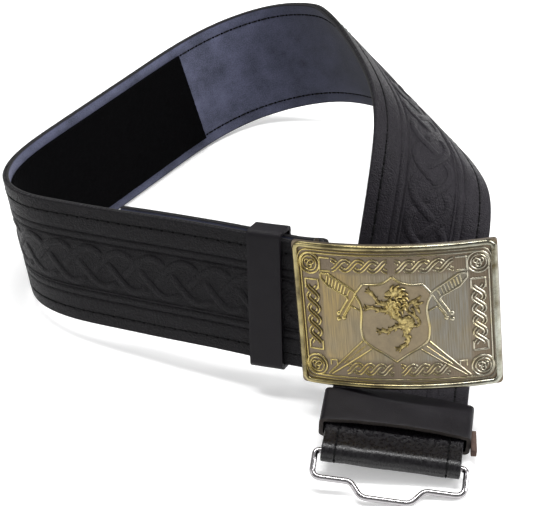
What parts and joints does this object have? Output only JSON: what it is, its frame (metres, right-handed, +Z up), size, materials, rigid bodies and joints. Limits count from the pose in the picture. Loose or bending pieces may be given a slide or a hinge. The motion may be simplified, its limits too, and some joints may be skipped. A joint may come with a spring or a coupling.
{
  "type": "kilt belt",
  "caption": "Wide black leather kilt belt laid down as an open loop, with a curved antique brass plate buckle that swings on its bar, leather keepers and a wire hook loop at the free end.",
  "frame": {"origin": "middle of the foot of the belt's box, on the surface that the belt lies on", "axes": "+Z up from that surface, +Y from the hook end across the waist loop to its far side, +X towards the buckle's free edge"},
  "size_m": [0.2206, 0.2862, 0.0812],
  "materials": {
    "black_leather": "pressed black leather, semi-gloss",
    "grey_lining": "blue-grey rough split leather, matt",
    "fuzzy_tape": "black loop pile of a hook-and-loop tape",
    "antique_brass": "cast, antiqued in the recesses and polished on the high parts",
    "chromed_wire": "bright plated wire"
  },
  "bodies": {
    "strap": {"strap_face": "black_leather", "strap_lining": "grey_lining", "loop_tape": "fuzzy_tape", "keeper_buckle_end": "black_leather", "keeper_hook_end": "black_leather"},
    "buckle": {"buckle": "antique_brass"},
    "wire_loop": {"wire_loop": "chromed_wire"}
  },
  "joints": [
    {"name": "buckle_hinge", "type": "hinge", "parent": "strap", "child": "buckle", "pos_m": [0.03215, -0.06522, 0.04207], "axis": [0.0146, -0.3445, -0.9387], "range_deg": [0, 10]},
    {"name": "loop_hinge", "type": "hinge", "parent": "strap", "child": "wire_loop", "pos_m": [0.056, -0.1236, 0.00779], "axis": [-0.9802, 0.1752, 0.0922], "range_deg": [0, 110]}
  ]
}
